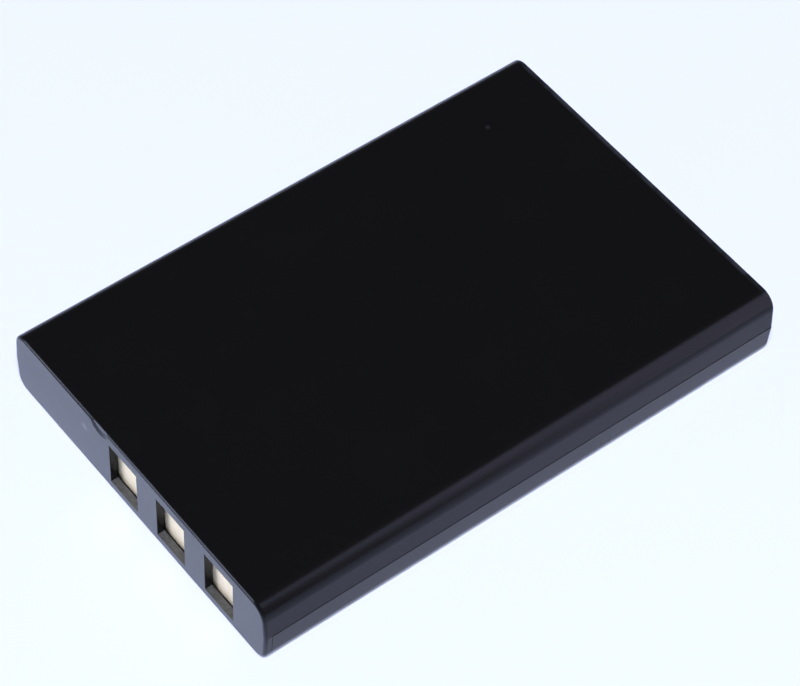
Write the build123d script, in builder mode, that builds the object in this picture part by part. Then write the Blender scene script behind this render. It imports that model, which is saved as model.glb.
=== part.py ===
"""Flat rechargeable camera battery: two welded case shells round a prismatic cell and its protection board.

Millimetres, +Z up. The battery lies on its larger face. X runs along its length, with the contact end at -X.
The origin is at the middle of the bottom face.
"""

from build123d import *
from math import radians, tan
import os

os.makedirs("parts", exist_ok=True)

# Case, overall
length = 53.0
width = 35.2
height = 7.0
side_draft = 4.0
top_edge_radius = 1.6
bottom_edge_radius = 1.3
end_edge_radius = 0.3
far_edge_radius = 0.25

# Case walls
top_wall = 0.6
floor_wall = 0.6
side_wall = 0.8
end_wall = 0.7
far_wall = 0.8
least_inner_radius = 0.2

# Stepped joint between the two shells
parting_height = 3.4
seam_gap = 0.1
end_seam_gap = 0.04
lip_height = 0.5
lip_thickness = 0.35
lip_clearance = 0.05

# Contact windows and the round key in the contact end, placed from the -Y side
window_width = 3.85
window_height = 4.9
window_bottom = 0.95
window_pitch = 6.6
first_window_offset = 6.25
window_count = 3
key_radius = 1.55
key_rise = 0.5
key_depth = 0.12
key_draft = 75.0
key_offset = 22.65

# Contacts and the board behind them
contact_thickness = 0.3
contact_overlap = 0.2
contact_corner_radius = 0.3
contact_clearance = 0.15
board_thickness = 0.8
board_side_clearance = 0.3
board_edge_clearance = 0.15
board_corner = 1.2

# Ribs of the upper shell that stand between the board and the cell
rib_width = 1.6
rib_clearance = 0.05

# Cell
terminal_space = 2.35
cell_side_clearance = 0.2
cell_edge_radius = 2.0
cell_far_edge_radius = 0.6
tape_thickness = 0.15
tape_border = 4.0
end_pad_thickness = 0.4
end_pad_border = 3.0

# Negative terminal in the lid of the cell
terminal_width = 4.0
terminal_height = 2.6
terminal_head = 0.5
rivet_diameter = 1.4
rivet_depth = 1.3
gasket_border = 0.5
gasket_plate = 0.3
gasket_collar_wall = 0.4
gasket_collar_depth = 1.0
terminal_clearance = 0.02
plug_diameter = 1.2
plug_depth = 0.8
plug_offset = 6.0

# Strip on the lid
insulator_thickness = 0.2
insulator_height = 4.6
insulator_clearance = 0.15
insulator_inset = 2.6
insulator_tab_gap = 0.9

# Nickel strips and the fuse in the negative lead
tab_thickness = 0.15
tab_height = 3.0
tab_bend_radius = 0.3
flange_length = 3.0
fuse_thickness = 0.7
fuse_width = 4.0
fuse_height = 3.4
fuse_offset = 6.0
fuse_tab_reach = 11.0
positive_tab_inset = 4.3
positive_tab_length = 4.0

# Parts on the back of the board
protection_chip_width = 2.9
protection_chip_height = 1.6
switch_chip_width = 3.0
switch_chip_height = 4.0
chip_thickness = 1.0
chip_draft = 0.12
lead_width = 0.3
lead_thickness = 0.15
lead_reach = 0.45
small_part_width = 0.8
small_part_height = 1.6
resistor_thickness = 0.45
capacitor_thickness = 0.8
small_part_pitch = 1.6
resistor_count = 3
capacitor_count = 2
part_gap = 0.6
thermistor_gap = 0.8

# Places along X
end_face = -length / 2
end_inner = end_face + end_wall
far_inner = length / 2 - far_wall
contact_front = end_inner + contact_clearance
board_front = contact_front + contact_thickness
board_back = board_front + board_thickness
lid_face = board_back + terminal_space
cell_back = far_inner - end_pad_thickness
cell_length = cell_back - lid_face

# Places along Y and Z
cavity_width = width - 2 * side_wall
cavity_top = height - top_wall
cell_width = cavity_width - 2 * cell_side_clearance
cell_bottom = floor_wall + tape_thickness
cell_top = cavity_top - tape_thickness
cell_middle = (cell_bottom + cell_top) / 2
board_width = cavity_width - 2 * board_side_clearance
board_bottom = floor_wall + board_edge_clearance
board_top = cavity_top - board_edge_clearance
board_middle = (board_bottom + board_top) / 2
window_middle = window_bottom + window_height / 2
contact_width = window_width + 2 * contact_overlap
contact_bottom = max(window_bottom - contact_overlap, board_bottom)
contact_top = min(window_bottom + window_height + contact_overlap, board_top)
contact_middle = (contact_bottom + contact_top) / 2
window_places = [first_window_offset - width / 2 + i * window_pitch for i in range(window_count)]
positive_tab_place = cavity_width / 2 - positive_tab_inset
insulator_minus_end = cell_width / 2 - insulator_inset
insulator_plus_end = positive_tab_place - positive_tab_length - insulator_tab_gap

# Parts on the board, in a row from the positive strip towards the fuse's strip
capacitor_row = (capacitor_count - 1) * small_part_pitch + small_part_width
resistor_row = (resistor_count - 1) * small_part_pitch + small_part_width
switch_chip_place = positive_tab_place - flange_length - part_gap - switch_chip_width / 2
protection_chip_place = switch_chip_place - (switch_chip_width + protection_chip_width) / 2 - part_gap
capacitor_place = protection_chip_place - (protection_chip_width + capacitor_row) / 2 - part_gap
resistor_place = capacitor_place - (capacitor_row + resistor_row) / 2 - part_gap
thermistor_place = -fuse_tab_reach - thermistor_gap - small_part_width / 2


def rounded_section(start, section_width, bottom, top, bottom_radius, top_radius):
    """Section of a case or cell in the YZ plane at X = start, rounded along its four long edges."""
    with BuildSketch(Plane.YZ.offset(start)) as section:
        with Locations((0, (bottom + top) / 2)):
            Rectangle(section_width, top - bottom)
        fillet(section.vertices().group_by(Axis.Y)[0], bottom_radius)
        fillet(section.vertices().group_by(Axis.Y)[-1], top_radius)
    return section.sketch


def case_section(start):
    """Outer section of the case in the YZ plane at X = start, widest at the parting line."""
    side_slope = tan(radians(side_draft))
    top_half = width / 2 - (height - parting_height) * side_slope
    bottom_half = width / 2 - parting_height * side_slope
    right_side = [(bottom_half, 0), (width / 2, parting_height), (top_half, height)]
    left_side = [(-across, up) for across, up in reversed(right_side)]
    with BuildSketch(Plane.YZ.offset(start)) as section:
        Polygon(*right_side, *left_side, align=None)
        fillet(section.vertices().group_by(Axis.Y)[0], bottom_edge_radius)
        fillet(section.vertices().group_by(Axis.Y)[-1], top_edge_radius)
    return section.sketch


def strip_along(points):
    """Folded nickel strip whose middle line follows points in the XY plane, centred on the cell's height."""
    with BuildPart() as strip:
        with BuildSketch(Plane.XY.offset(cell_middle - tab_height / 2)):
            with BuildLine():
                FilletPolyline(*points, radius=tab_bend_radius)
            trace(line_width=tab_thickness)
        extrude(amount=tab_height)
    return strip.part


def leaded_chip(chip_width, chip_height, place, leads_a_side):
    """Moulded chip package on the back of the board, with a row of leads above and below."""
    lead_pitch = chip_width / leads_a_side
    with BuildPart() as chip:
        with BuildSketch(Plane.YZ.offset(board_back + lead_thickness)):
            with Locations((place, board_middle)):
                Rectangle(chip_width, chip_height)
        extrude(amount=chip_thickness - lead_thickness)
        chamfer(chip.faces().sort_by(Axis.X)[-1].edges(), chip_draft)
        with BuildSketch(Plane.YZ.offset(board_back)):
            with Locations((place, board_middle)):
                with GridLocations(lead_pitch, 0, leads_a_side, 1):
                    Rectangle(lead_width, chip_height + 2 * lead_reach)
        extrude(amount=2 * lead_thickness)
    return chip.part


def small_parts(thickness, place, count):
    """Row of ceramic chip parts that stand on the back of the board."""
    with BuildPart() as row:
        with BuildSketch(Plane.YZ.offset(board_back)):
            with Locations((place, board_middle)):
                with GridLocations(small_part_pitch, 0, count, 1):
                    Rectangle(small_part_width, small_part_height)
        extrude(amount=thickness)
    return row.part


# Outline of the closed case, which both shells share
with BuildPart() as case_outline:
    extrude(case_section(end_face), amount=length, dir=(1, 0, 0))
    fillet(case_outline.faces().sort_by(Axis.X)[0].edges(), end_edge_radius)
    fillet(case_outline.faces().sort_by(Axis.X)[-1].edges(), far_edge_radius)

# Space inside the case
with BuildPart() as case_cavity:
    inner_bottom_radius = max(bottom_edge_radius - side_wall, least_inner_radius)
    inner_top_radius = max(top_edge_radius - side_wall, least_inner_radius)
    inner_section = rounded_section(
        end_inner, cavity_width, floor_wall, cavity_top, inner_bottom_radius, inner_top_radius
    )
    extrude(inner_section, amount=far_inner - end_inner, dir=(1, 0, 0))

# Upper shell: top, upper side walls and the whole contact end
with BuildPart() as case_body:
    add(case_outline.part)
    # The cavity leaves two ribs standing between the board and the cell
    with BuildSketch(Plane.XY.offset(parting_height + seam_gap), mode=Mode.PRIVATE) as rib_plan:
        rib_start = board_back + rib_clearance
        rib_end = lid_face - rib_clearance
        with Locations(((rib_start + rib_end) / 2, 0)):
            Rectangle(rib_end - rib_start, width)
            Rectangle(rib_end - rib_start, cavity_width - 2 * rib_width, mode=Mode.SUBTRACT)
    ribs = extrude(rib_plan.sketch, amount=height, mode=Mode.PRIVATE)
    add(case_cavity.part - ribs, mode=Mode.SUBTRACT)
    # The cover's share, behind the end wall and below the parting plane
    with BuildSketch(Plane.XY):
        with Locations(((end_inner + length / 2) / 2, 0)):
            Rectangle(length / 2 - end_inner, width)
    extrude(amount=parting_height + seam_gap, mode=Mode.SUBTRACT)
    # Lip that reaches down inside the cover's rim
    with BuildSketch(Plane.XY.offset(parting_height - lip_height)):
        lip_back = far_inner + lip_thickness
        with Locations(((end_inner + lip_back) / 2, 0)):
            Rectangle(lip_back - end_inner, cavity_width + 2 * lip_thickness)
        with Locations(((end_inner + far_inner) / 2, 0)):
            Rectangle(far_inner - end_inner, cavity_width, mode=Mode.SUBTRACT)
    extrude(amount=lip_height + seam_gap)
    # Contact windows
    with BuildSketch(Plane.YZ.offset(end_face)):
        with Locations(*[(place, window_middle) for place in window_places]):
            Rectangle(window_width, window_height)
    extrude(amount=end_wall, mode=Mode.SUBTRACT)
    # Shallow round key with sloping walls in the upper edge of the contact end
    with BuildSketch(Plane.YZ.offset(end_face)):
        with Locations((key_offset - width / 2, height + key_rise)):
            Circle(key_radius)
    extrude(amount=key_depth, taper=key_draft, mode=Mode.SUBTRACT)
case_body.part.label = "case_body"
export_step(case_body.part, "parts/case_body.step")

# Lower shell, below the parting line, with a rebate for the lip
with BuildPart() as case_cover:
    add(case_outline.part)
    add(case_cavity.part, mode=Mode.SUBTRACT)
    cover_start = end_inner + end_seam_gap
    with BuildSketch(Plane.XY):
        with Locations(((cover_start + length / 2) / 2, 0)):
            Rectangle(length / 2 - cover_start, width)
    extrude(amount=parting_height, mode=Mode.INTERSECT)
    with BuildSketch(Plane.XY.offset(parting_height - lip_height - lip_clearance)):
        rebate_back = far_inner + lip_thickness + lip_clearance
        with Locations(((cover_start + rebate_back) / 2, 0)):
            Rectangle(rebate_back - cover_start, cavity_width + 2 * (lip_thickness + lip_clearance))
    extrude(amount=height, mode=Mode.SUBTRACT)
case_cover.part.label = "case_cover"
export_step(case_cover.part, "parts/case_cover.step")

# Gold-plated contacts behind the windows
for contact_name, place in zip(("contact_minus", "contact_sense", "contact_plus"), window_places):
    with BuildPart() as contact:
        with BuildSketch(Plane.YZ.offset(contact_front)):
            with Locations((place, contact_middle)):
                RectangleRounded(contact_width, contact_top - contact_bottom, contact_corner_radius)
        extrude(amount=contact_thickness)
    contact.part.label = contact_name
    export_step(contact.part, f"parts/{contact_name}.step")

# Protection board, upright behind the contact end
with BuildPart() as circuit_board:
    with BuildSketch(Plane.YZ.offset(board_front)) as board_outline:
        with Locations((0, board_middle)):
            Rectangle(board_width, board_top - board_bottom)
        chamfer(board_outline.vertices(), board_corner)
    extrude(amount=board_thickness)
circuit_board.part.label = "circuit_board"
export_step(circuit_board.part, "parts/circuit_board.step")

# Chips on the back of the board
protection_chip = leaded_chip(protection_chip_width, protection_chip_height, protection_chip_place, 3)
protection_chip.label = "protection_chip"
export_step(protection_chip, "parts/protection_chip.step")

switch_chip = leaded_chip(switch_chip_width, switch_chip_height, switch_chip_place, 4)
switch_chip.label = "switch_chip"
export_step(switch_chip, "parts/switch_chip.step")

chip_resistors = small_parts(resistor_thickness, resistor_place, resistor_count)
chip_resistors.label = "chip_resistors"
export_step(chip_resistors, "parts/chip_resistors.step")

chip_capacitors = small_parts(capacitor_thickness, capacitor_place, capacitor_count)
chip_capacitors.label = "chip_capacitors"
export_step(chip_capacitors, "parts/chip_capacitors.step")

thermistor = small_parts(resistor_thickness, thermistor_place, 1)
thermistor.label = "thermistor"
export_step(thermistor, "parts/thermistor.step")

# Sealed cell: drawn can with its welded lid, drilled for the terminal and the filling hole
collar_diameter = rivet_diameter + 2 * (terminal_clearance + gasket_collar_wall)
with BuildPart() as cell:
    can_section = rounded_section(
        lid_face, cell_width, cell_bottom, cell_top, cell_edge_radius, cell_edge_radius
    )
    extrude(can_section, amount=cell_length, dir=(1, 0, 0))
    fillet(cell.faces().sort_by(Axis.X)[-1].edges(), cell_far_edge_radius)
    with BuildSketch(Plane.YZ.offset(lid_face)):
        with Locations((0, cell_middle)):
            Circle(collar_diameter / 2 + terminal_clearance)
    extrude(amount=max(gasket_collar_depth, rivet_depth) + terminal_clearance, mode=Mode.SUBTRACT)
    with BuildSketch(Plane.YZ.offset(lid_face)):
        with Locations((plug_offset, cell_middle)):
            Circle(plug_diameter / 2)
    extrude(amount=plug_depth, mode=Mode.SUBTRACT)
cell.part.label = "cell"
export_step(cell.part, "parts/cell.step")

# Insulating gasket: a plate on the lid and a collar in its hole
with BuildPart() as terminal_gasket:
    with BuildSketch(Plane.YZ.offset(lid_face)):
        with Locations((0, cell_middle)):
            Rectangle(terminal_width + 2 * gasket_border, terminal_height + 2 * gasket_border)
    extrude(amount=-gasket_plate)
    with BuildSketch(Plane.YZ.offset(lid_face)):
        with Locations((0, cell_middle)):
            Circle(collar_diameter / 2)
    extrude(amount=gasket_collar_depth)
    with BuildSketch(Plane.YZ.offset(lid_face - gasket_plate)):
        with Locations((0, cell_middle)):
            Circle(rivet_diameter / 2 + terminal_clearance)
    extrude(amount=gasket_plate + gasket_collar_depth, mode=Mode.SUBTRACT)
terminal_gasket.part.label = "terminal_gasket"
export_step(terminal_gasket.part, "parts/terminal_gasket.step")

# Negative terminal: flat head on the gasket and a shank through it
head_back = lid_face - gasket_plate
head_front = head_back - terminal_head
with BuildPart() as negative_terminal:
    with BuildSketch(Plane.YZ.offset(head_front)):
        with Locations((0, cell_middle)):
            Rectangle(terminal_width, terminal_height)
    extrude(amount=terminal_head)
    with BuildSketch(Plane.YZ.offset(head_back)):
        with Locations((0, cell_middle)):
            Circle(rivet_diameter / 2)
    extrude(amount=gasket_plate + rivet_depth)
negative_terminal.part.label = "negative_terminal"
export_step(negative_terminal.part, "parts/negative_terminal.step")

# Plug in the filling hole, flush with the lid
with BuildPart() as fill_plug:
    with BuildSketch(Plane.YZ.offset(lid_face)):
        with Locations((plug_offset, cell_middle)):
            Circle(plug_diameter / 2)
    extrude(amount=plug_depth)
fill_plug.part.label = "fill_plug"
export_step(fill_plug.part, "parts/fill_plug.step")

# Fibre strip on the lid, open round the terminal's gasket
with BuildPart() as lid_insulator:
    with BuildSketch(Plane.YZ.offset(lid_face - insulator_thickness)):
        with Locations(((insulator_plus_end - insulator_minus_end) / 2, cell_middle)):
            Rectangle(insulator_plus_end + insulator_minus_end, insulator_height)
        with Locations((0, cell_middle)):
            opening_border = 2 * (gasket_border + insulator_clearance)
            Rectangle(terminal_width + opening_border, terminal_height + opening_border, mode=Mode.SUBTRACT)
    extrude(amount=insulator_thickness)
lid_insulator.part.label = "lid_insulator"
export_step(lid_insulator.part, "parts/lid_insulator.step")

# Fuse that lies on the strip, between two nickel leads
fuse_back = lid_face - insulator_thickness - tab_thickness
fuse_front = fuse_back - fuse_thickness
with BuildPart() as thermal_fuse:
    with BuildSketch(Plane.YZ.offset(fuse_front)):
        with Locations((-fuse_offset, cell_middle)):
            Rectangle(fuse_width, fuse_height)
    extrude(amount=fuse_thickness)
thermal_fuse.part.label = "thermal_fuse"
export_step(thermal_fuse.part, "parts/thermal_fuse.step")

# Nickel strip from the terminal to the front of the fuse, stepped between the two heights
half_tab = tab_thickness / 2
fuse_inner_end = -fuse_offset + fuse_width / 2
fuse_outer_end = -fuse_offset - fuse_width / 2
negative_tab = strip_along(
    [
        (head_front - half_tab, terminal_width / 2),
        (head_front - half_tab, -terminal_width / 4),
        (fuse_front - half_tab, fuse_inner_end),
        (fuse_front - half_tab, fuse_outer_end),
    ]
)
negative_tab.label = "negative_tab"
export_step(negative_tab, "parts/negative_tab.step")

# Nickel strip from the back of the fuse to the board
fuse_tab = strip_along(
    [
        (fuse_back + half_tab, fuse_inner_end),
        (fuse_back + half_tab, -fuse_tab_reach),
        (board_back + half_tab, -fuse_tab_reach),
        (board_back + half_tab, flange_length - fuse_tab_reach),
    ]
)
fuse_tab.label = "fuse_tab"
export_step(fuse_tab, "parts/fuse_tab.step")

# Nickel strip from the lid, which is positive, to the board
positive_tab = strip_along(
    [
        (lid_face - half_tab, positive_tab_place - positive_tab_length),
        (lid_face - half_tab, positive_tab_place),
        (board_back + half_tab, positive_tab_place),
        (board_back + half_tab, positive_tab_place - flange_length),
    ]
)
positive_tab.label = "positive_tab"
export_step(positive_tab, "parts/positive_tab.step")

# Double-sided tape above and below the cell
for tape_name, tape_base in (("lower_tape", floor_wall), ("upper_tape", cell_top)):
    with BuildPart() as tape:
        with BuildSketch(Plane.XY.offset(tape_base)):
            with Locations(((lid_face + cell_back) / 2, 0)):
                Rectangle(cell_length - 2 * tape_border, cell_width - 2 * tape_border)
        extrude(amount=tape_thickness)
    tape.part.label = tape_name
    export_step(tape.part, f"parts/{tape_name}.step")

# Foam strip between the cell and the far wall
with BuildPart() as end_pad:
    with BuildSketch(Plane.YZ.offset(cell_back)):
        with Locations((0, cell_middle)):
            Rectangle(cell_width - 2 * end_pad_border, cell_top - cell_bottom - 2 * cell_far_edge_radius)
    extrude(amount=end_pad_thickness)
end_pad.part.label = "end_pad"
export_step(end_pad.part, "parts/end_pad.step")
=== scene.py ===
"""Looks of the camera battery: materials, rounded edges, floor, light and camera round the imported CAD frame.

Metres, in the frame of the CAD part: X along the battery with the contact end at -X, Z up.
"""

import math

import bpy
from mathutils import Matrix, Vector


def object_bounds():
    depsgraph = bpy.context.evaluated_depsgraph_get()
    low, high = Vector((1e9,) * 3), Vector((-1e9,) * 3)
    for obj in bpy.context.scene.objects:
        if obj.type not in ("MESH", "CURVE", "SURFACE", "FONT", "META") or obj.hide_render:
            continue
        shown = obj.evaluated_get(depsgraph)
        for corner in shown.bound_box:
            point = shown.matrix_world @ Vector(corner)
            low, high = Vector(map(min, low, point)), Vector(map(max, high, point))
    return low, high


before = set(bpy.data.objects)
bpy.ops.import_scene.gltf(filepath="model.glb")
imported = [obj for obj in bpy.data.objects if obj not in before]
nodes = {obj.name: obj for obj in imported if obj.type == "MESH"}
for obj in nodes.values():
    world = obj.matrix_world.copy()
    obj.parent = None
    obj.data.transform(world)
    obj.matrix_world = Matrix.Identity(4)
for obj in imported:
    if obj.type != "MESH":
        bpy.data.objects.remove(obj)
cad_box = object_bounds()

MM = 0.001

# Faces of the CAD box that the looks are placed from
contact_end = cad_box[0][0]
far_end = cad_box[1][0]
top = cad_box[1][2]

# Camera, from the photograph
camera_azimuth = math.radians(-39.59)
camera_elevation = math.radians(51.64)
camera_roll = math.radians(2.53)
camera_distance = 278.66 * MM
camera_aim_right = 0.35 * MM
camera_aim_up = 1.94 * MM
camera_lens = 148.23
sensor_width = 36.0

# Surround: height of a direction, from below the horizon to above, and its colour
surround_bands = [
    (-0.02, (0.91, 0.95, 0.94)),
    (0.00, (0.60, 0.62, 0.62)),
    (0.06, (0.12, 0.12, 0.13)),
    (0.20, (0.05, 0.05, 0.053)),
    (0.60, (0.012, 0.012, 0.013)),
]

# Key light above the camera
key_power = 105.0
key_colour = (0.70, 0.71, 1.0)
key_distance = 2.4
key_size = 0.60
key_elevation = math.radians(62)

# Lit card on the floor before the contact end
bounce_power = 0.00098
bounce_colour = (0.587, 0.71, 1.0)
bounce_depth = 9.0 * MM
bounce_length = 45.0 * MM
bounce_shift = 3.5 * MM
bounce_height = 0.1 * MM

# Upright lit cards round the battery, with azimuths in degrees
card_distance = 0.35
side_card = {"azimuth": 51, "width": 0.35, "height": 0.75, "power": 2.1, "colour": (0.86, 0.79, 1.0)}
back_card = {"azimuth": -121, "width": 0.13, "height": 0.30, "power": 1.27, "colour": (0.85, 0.87, 1.0)}

# Floor
floor_colour = (0.80, 0.852, 0.83)
floor_shade = 0.99
floor_cloud = 40.0 * MM
floor_radius = 0.35
floor_gap = 0.01 * MM

# Case plastic, with its grain and the faint clouds of handling
plastic_dark = (0.0050, 0.0050, 0.0042)
plastic_light = (0.0060, 0.0060, 0.0050)
plastic_ior = 1.28
plastic_tint = (0.75, 0.8, 1.0, 1.0)
plastic_roughness = (0.22, 0.28)
grain_size = 0.16 * MM
grain_depth = 0.003 * MM
cloud_size = 7.0 * MM

# Dust on the floors of the contact windows, 0.95 mm above the bottom face in a wall 0.7 mm thick
dust_colour = (0.082, 0.082, 0.064)
dust_inside = contact_end + 0.7 * MM
dust_top = 1.05 * MM
dust_fade = 0.1 * MM
dust_patch = 0.35 * MM
dust_thinnest = 0.6
dust_slope = (0.6, 0.9)

# Painted highlight: a light strip along the upper edge of the far end
edge_highlight_colour = (0.027, 0.030, 0.029)
edge_highlight_start = far_end - 0.60 * MM
edge_highlight_fade = 0.25 * MM
edge_highlight_bottom = top - 0.3 * MM
edge_highlight_rise = 0.2 * MM
edge_highlight_length = 1.3 * MM
edge_highlight_range = (0.35, 0.60)
edge_highlight_thinnest = 0.25

# A painted glint on the contact end and a small light speck on the top: place, radius and strength
glint_and_speck_colour = (0.10, 0.10, 0.10)
glint_and_speck_marks = [
    # Painted glint on the contact end
    (Vector((-26.5, 7.3, 4.6)) * MM, 0.6 * MM, 0.8),
    # Light speck on the top
    (Vector((19.0, 11.9, 7.0)) * MM, 0.3 * MM, 0.15),
]

# Metals: colour, lowest and highest roughness, stretch of the rolling lines by axis, and their depth
metals = {
    "contact_gold": ((0.89, 0.79, 0.585), (0.62, 0.75), (1, 1, 0.2), 0.002 * MM),
    "cell_can": ((0.80, 0.81, 0.82), (0.28, 0.42), (0.1, 1, 1), 0.002 * MM),
    "nickel": ((0.66, 0.62, 0.56), (0.22, 0.36), (1, 0.1, 1), 0.001 * MM),
}
line_size = 0.12 * MM
stain_size = 1.8 * MM
stain_shade = 0.86

# Plain pieces: dark and light colour, size of the mottle, roughness, and depth of the mottle
mottles = {
    "board": ((0.006, 0.045, 0.016), (0.012, 0.075, 0.028), 0.4 * MM, 0.42, 0.004 * MM),
    "chip_body": ((0.008, 0.008, 0.009), (0.016, 0.016, 0.017), 0.1 * MM, 0.55, 0.004 * MM),
    "chip_ceramic": ((0.20, 0.14, 0.09), (0.30, 0.22, 0.15), 0.2 * MM, 0.5, 0.003 * MM),
    "gasket": ((0.62, 0.62, 0.60), (0.75, 0.75, 0.73), 0.5 * MM, 0.5, 0.004 * MM),
    "fuse_body": ((0.02, 0.02, 0.022), (0.04, 0.04, 0.042), 0.3 * MM, 0.5, 0.004 * MM),
    "fibre_paper": ((0.30, 0.36, 0.30), (0.42, 0.48, 0.40), 0.25 * MM, 0.8, 0.02 * MM),
    "tape": ((0.55, 0.54, 0.50), (0.66, 0.65, 0.61), 0.6 * MM, 0.7, 0.01 * MM),
    "foam": ((0.05, 0.05, 0.052), (0.11, 0.11, 0.112), 0.15 * MM, 0.9, 0.05 * MM),
}
mottle_spread = 0.08

# CAD nodes that take each material slot
slot_nodes = {
    "case_plastic": ["case_body", "case_cover"],
    "contact_gold": ["contact_minus", "contact_sense", "contact_plus"],
    "cell_can": ["cell", "fill_plug"],
    "nickel": ["negative_terminal", "negative_tab", "fuse_tab", "positive_tab"],
    "board": ["circuit_board"],
    "chip_body": ["protection_chip", "switch_chip"],
    "chip_ceramic": ["chip_resistors", "chip_capacitors", "thermistor"],
    "gasket": ["terminal_gasket"],
    "fuse_body": ["thermal_fuse"],
    "fibre_paper": ["lid_insulator"],
    "tape": ["lower_tape", "upper_tape"],
    "foam": ["end_pad"],
}

# Edge rounding of the moulded and cut pieces
shell_edge = 0.05 * MM
fine_edge = 0.03 * MM
edge_angle = math.radians(40)
edge_segments = 3
join_distance = 0.001 * MM
flat_weight = 80

# Range that most values of a noise lie in
noise_low = 0.3
noise_high = 0.7

# Sockets of the mix node when it blends colours
mix_first = 6
mix_second = 7
mix_result = 2


def add(tree, kind, inputs=None, **settings):
    """New node of a kind. An input is a constant, or an output socket to link."""
    made = tree.nodes.new(kind)
    for name, value in settings.items():
        setattr(made, name, value)
    for name, value in (inputs or {}).items():
        if isinstance(value, bpy.types.NodeSocket):
            tree.links.new(value, made.inputs[name])
        else:
            made.inputs[name].default_value = value
    return made


def new_material(name, **constants):
    """Material with a Principled surface; constants are set on the shader's own sockets."""
    material = bpy.data.materials.new(name)
    material.use_nodes = True
    surface = material.node_tree.nodes["Principled BSDF"]
    for socket, value in constants.items():
        surface.inputs[socket.replace("_", " ")].default_value = value
    return material, material.node_tree, surface


def dress(tree, surface, colour, roughness, normal):
    """Links the surface to its colour, roughness and normal."""
    tree.links.new(colour, surface.inputs["Base Color"])
    tree.links.new(roughness, surface.inputs["Roughness"])
    tree.links.new(normal, surface.inputs["Normal"])


def object_place(tree):
    """Place on the object in metres, the same in every view."""
    return add(tree, "ShaderNodeTexCoord").outputs["Object"]


def noise(tree, place, size, detail=3.0, roughness=0.5):
    """Noise whose lumps are about size across."""
    inputs = {"Vector": place, "Scale": 1.0 / size, "Detail": detail, "Roughness": roughness}
    return add(tree, "ShaderNodeTexNoise", inputs).outputs["Fac"]


def spread(tree, value, low, high, to_low, to_high):
    """Linear change of range, held at its ends."""
    inputs = {"Value": value, "From Min": low, "From Max": high, "To Min": to_low, "To Max": to_high}
    return add(tree, "ShaderNodeMapRange", inputs, clamp=True).outputs["Result"]


def multiply(tree, first, second):
    """Product of two shares."""
    return add(tree, "ShaderNodeMath", {0: first, 1: second}, operation="MULTIPLY").outputs["Value"]


def rgba(colour):
    """Colour with full alpha; an output socket stays as it is."""
    return colour if isinstance(colour, bpy.types.NodeSocket) else (*colour, 1.0)


def blend_colours(tree, share, first, second):
    """Colour between two others."""
    inputs = {"Factor": share, mix_first: rgba(first), mix_second: rgba(second)}
    return add(tree, "ShaderNodeMix", inputs, data_type="RGBA").outputs[mix_result]


def bump(tree, height, depth):
    """Bump of a height of 0 to 1 that stands for depth."""
    inputs = {"Height": height, "Distance": depth, "Strength": 1.0}
    return add(tree, "ShaderNodeBump", inputs).outputs["Normal"]


def window_dust(tree):
    """Share of dust on the upward faces of the contact windows, in the wall of the contact end."""
    coords = add(tree, "ShaderNodeTexCoord")
    place = add(tree, "ShaderNodeSeparateXYZ", {"Vector": coords.outputs["Object"]}).outputs
    facing = add(tree, "ShaderNodeSeparateXYZ", {"Vector": coords.outputs["Normal"]}).outputs
    patches = noise(tree, coords.outputs["Object"], dust_patch)
    share = spread(tree, patches, noise_low, noise_high, dust_thinnest, 1.0)
    in_wall = spread(tree, place["X"], dust_inside, dust_inside + dust_fade, 1.0, 0.0)
    low = spread(tree, place["Z"], dust_top, dust_top + dust_fade, 1.0, 0.0)
    upward = spread(tree, facing["Z"], *dust_slope, 0.0, 1.0)
    for limit in (in_wall, low, upward):
        share = multiply(tree, share, limit)
    return share


def painted_edge_highlight(tree):
    """Share of the painted highlight along the upper edge of the far end, in broken stretches."""
    place = object_place(tree)
    axes = add(tree, "ShaderNodeSeparateXYZ", {"Vector": place}).outputs
    at_end = spread(tree, axes["X"], edge_highlight_start, edge_highlight_start + edge_highlight_fade, 0.0, 1.0)
    at_top = spread(tree, axes["Z"], edge_highlight_bottom, edge_highlight_bottom + edge_highlight_rise, 0.0, 1.0)
    broken = spread(tree, noise(tree, place, edge_highlight_length), *edge_highlight_range, edge_highlight_thinnest, 1.0)
    return multiply(tree, multiply(tree, at_end, at_top), broken)


def glint_and_speck_share(tree):
    """Share of the painted glint and of the light speck, each fading out to its radius."""
    place = object_place(tree)
    share = 0.0
    for middle, radius, strength in glint_and_speck_marks:
        ends = {0: place, 1: middle}
        away = add(tree, "ShaderNodeVectorMath", ends, operation="DISTANCE").outputs["Value"]
        near = spread(tree, away, 0.0, radius, strength, 0.0)
        share = add(tree, "ShaderNodeMath", {0: near, 1: share}, operation="MAXIMUM").outputs["Value"]
    return share


def case_plastic():
    """Black moulded plastic with a fine spark-eroded grain, dust, a painted highlight along the far end's
    upper edge, a painted glint on the contact end and a small light speck on the top.
    """
    constants = {"IOR": plastic_ior, "Specular_Tint": plastic_tint}
    material, tree, surface = new_material("case_plastic", **constants)
    place = object_place(tree)
    grain = noise(tree, place, grain_size, detail=2.0)
    cloud = noise(tree, place, cloud_size, detail=4.0, roughness=0.55)
    colour = blend_colours(tree, cloud, plastic_dark, plastic_light)
    colour = blend_colours(tree, window_dust(tree), colour, dust_colour)
    # Painted highlight along the upper edge of the far end
    colour = blend_colours(tree, painted_edge_highlight(tree), colour, edge_highlight_colour)
    # Painted glint on the contact end, and a light speck on the top
    colour = blend_colours(tree, glint_and_speck_share(tree), colour, glint_and_speck_colour)
    roughness = spread(tree, cloud, noise_low, noise_high, *plastic_roughness)
    dress(tree, surface, colour, roughness, bump(tree, grain, grain_depth))
    return material


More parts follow.
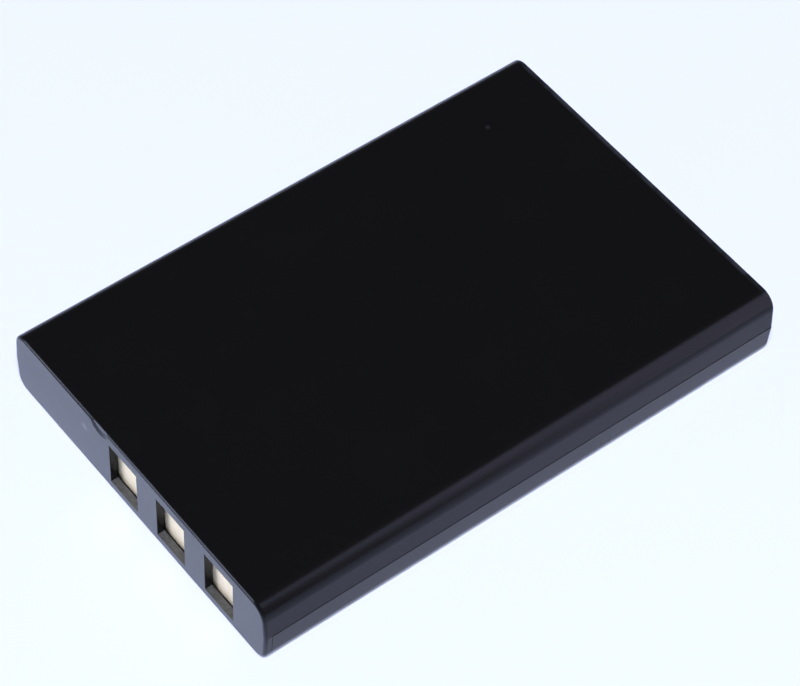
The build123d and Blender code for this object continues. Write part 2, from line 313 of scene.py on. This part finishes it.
def brushed_metal(name, colour, rough_range, stretch, depth):
    """Metal with fine rolling lines along one axis and faint stains."""
    material, tree, surface = new_material(name, Metallic=1.0)
    place = object_place(tree)
    scaled = add(tree, "ShaderNodeMapping", {"Vector": place, "Scale": stretch}).outputs["Vector"]
    lines = noise(tree, scaled, line_size)
    stain = noise(tree, place, stain_size)
    darker = tuple(stain_shade * channel for channel in colour)
    stained = blend_colours(tree, stain, darker, colour)
    roughness = spread(tree, lines, noise_low, noise_high, *rough_range)
    dress(tree, surface, stained, roughness, bump(tree, lines, depth))
    return material


def mottled(name, dark, light, size, middle_roughness, depth):
    """Plain non-metal with a fine mottle and a rough surface."""
    material, tree, surface = new_material(name)
    mottle = noise(tree, object_place(tree), size, detail=4.0, roughness=0.6)
    colour = blend_colours(tree, mottle, dark, light)
    smoothest = middle_roughness - mottle_spread
    roughest = middle_roughness + mottle_spread
    roughness = spread(tree, mottle, noise_low, noise_high, smoothest, roughest)
    dress(tree, surface, colour, roughness, bump(tree, mottle, depth))
    return material


def make_materials():
    """All the materials by slot."""
    made = {"case_plastic": case_plastic()}
    for slot, look in metals.items():
        made[slot] = brushed_metal(slot, *look)
    for slot, look in mottles.items():
        made[slot] = mottled(slot, *look)
    return made


def round_edges(piece, radius):
    """Joins the mesh's split corners and rounds its sharp edges a little, as moulds and punches do."""
    join = piece.modifiers.new("join", "WELD")
    join.merge_threshold = join_distance
    edge = piece.modifiers.new("edge", "BEVEL")
    edge.width = radius
    edge.segments = edge_segments
    edge.limit_method = "ANGLE"
    edge.angle_limit = edge_angle
    edge.use_clamp_overlap = True
    edge.harden_normals = True
    flats = piece.modifiers.new("flats", "WEIGHTED_NORMAL")
    flats.weight = flat_weight
    flats.keep_sharp = True


def floor_material():
    """Pale matt paper with a hardly visible mottle."""
    material, tree, surface = new_material("floor_paper", Roughness=0.9)
    cloud = noise(tree, object_place(tree), floor_cloud)
    darker = tuple(floor_shade * channel for channel in floor_colour)
    tree.links.new(blend_colours(tree, cloud, darker, floor_colour), surface.inputs["Base Color"])
    return material


def make_floor():
    """Round pale floor, a hair below the battery so that no two faces share a plane."""
    place = (0, 0, -floor_gap)
    bpy.ops.mesh.primitive_circle_add(vertices=96, radius=floor_radius, fill_type="NGON", location=place)
    floor = bpy.context.object
    floor.name = "floor"
    floor.data.materials.append(floor_material())


def view_axes(azimuth, elevation, roll):
    """Right, up and back of a camera that looks at the object from that side."""
    back = Vector((
        math.sin(azimuth) * math.cos(elevation),
        -math.cos(azimuth) * math.cos(elevation),
        math.sin(elevation),
    ))
    right = Vector((math.cos(azimuth), math.sin(azimuth), 0.0))
    up = back.cross(right)
    turned_right = right * math.cos(roll) + up * math.sin(roll)
    turned_up = up * math.cos(roll) - right * math.sin(roll)
    return turned_right, turned_up, back


def make_camera():
    """Camera at the photograph's place."""
    right, up, back = view_axes(camera_azimuth, camera_elevation, camera_roll)
    aim = right * camera_aim_right + up * camera_aim_up
    lens = bpy.data.cameras.new("camera")
    lens.lens = camera_lens
    lens.sensor_width = sensor_width
    lens.clip_start = 0.01
    camera = bpy.data.objects.new("camera", lens)
    turn = Matrix((right, up, back)).transposed().to_4x4()
    camera.matrix_world = Matrix.Translation(aim + back * camera_distance) @ turn
    bpy.context.scene.collection.objects.link(camera)
    bpy.context.scene.camera = camera


def place_light(name, place, target, width, height, power, colour):
    """Lit rectangle at a place, turned to a target, that the camera doesn't see."""
    lamp = bpy.data.lights.new(name, "AREA")
    lamp.shape = "RECTANGLE"
    lamp.size = width
    lamp.size_y = height
    lamp.energy = power
    lamp.color = colour
    light = bpy.data.objects.new(name, lamp)
    turn = (place - target).to_track_quat("Z", "Y").to_matrix().to_4x4()
    light.matrix_world = Matrix.Translation(place) @ turn
    light.visible_camera = False
    bpy.context.scene.collection.objects.link(light)
    return light


def make_key():
    """Large soft light above the camera, with no glint of its own."""
    place = view_axes(camera_azimuth, key_elevation, 0.0)[2] * key_distance
    key = place_light("key", place, Vector((0, 0, 0)), key_size, key_size, key_power, key_colour)
    key.visible_glossy = False


def make_bounce():
    """Pale card on the floor before the contact end, which that end mirrors."""
    place = Vector((contact_end - bounce_depth / 2, bounce_shift, bounce_height))
    above = place + Vector((0, 0, 1))
    place_light("bounce", place, above, bounce_depth, bounce_length, bounce_power, bounce_colour)


def make_card(name, azimuth, width, height, power, colour):
    """Upright lit card on the floor, seen only in what mirrors it."""
    turn = math.radians(azimuth)
    middle = Vector((math.sin(turn), -math.cos(turn), 0.0)) * card_distance
    middle.z = height / 2
    level = Vector((0.0, 0.0, middle.z))
    card = place_light(name, middle, level, width, height, power, colour)
    card.visible_diffuse = False


def make_surround():
    """Pale below the horizon, dark above."""
    world = bpy.data.worlds.new("surround")
    world.use_nodes = True
    tree = world.node_tree
    direction = add(tree, "ShaderNodeTexCoord").outputs["Generated"]
    height = add(tree, "ShaderNodeSeparateXYZ", {"Vector": direction}).outputs["Z"]
    ramp = add(tree, "ShaderNodeValToRGB", {"Fac": spread(tree, height, -1.0, 1.0, 0.0, 1.0)})
    stops = ramp.color_ramp.elements
    while len(stops) < len(surround_bands):
        stops.new(0.5)
    for stop, (band_height, colour) in zip(stops, surround_bands):
        stop.position = (band_height + 1) / 2
        stop.color = rgba(colour)
    tree.links.new(ramp.outputs["Color"], tree.nodes["Background"].inputs["Color"])
    bpy.context.scene.world = world


# Looks of the battery
materials = make_materials()
for slot, names in slot_nodes.items():
    for name in names:
        piece = nodes[name]
        piece.data.materials.clear()
        piece.data.materials.append(materials[slot])
for name, piece in nodes.items():
    round_edges(piece, shell_edge if name.startswith("case_") else fine_edge)

# Stage
make_floor()
make_camera()
make_key()
make_bounce()
make_card("side_card", **side_card)
make_card("back_card", **back_card)
make_surround()
bpy.context.scene.view_settings.view_transform = "Standard"
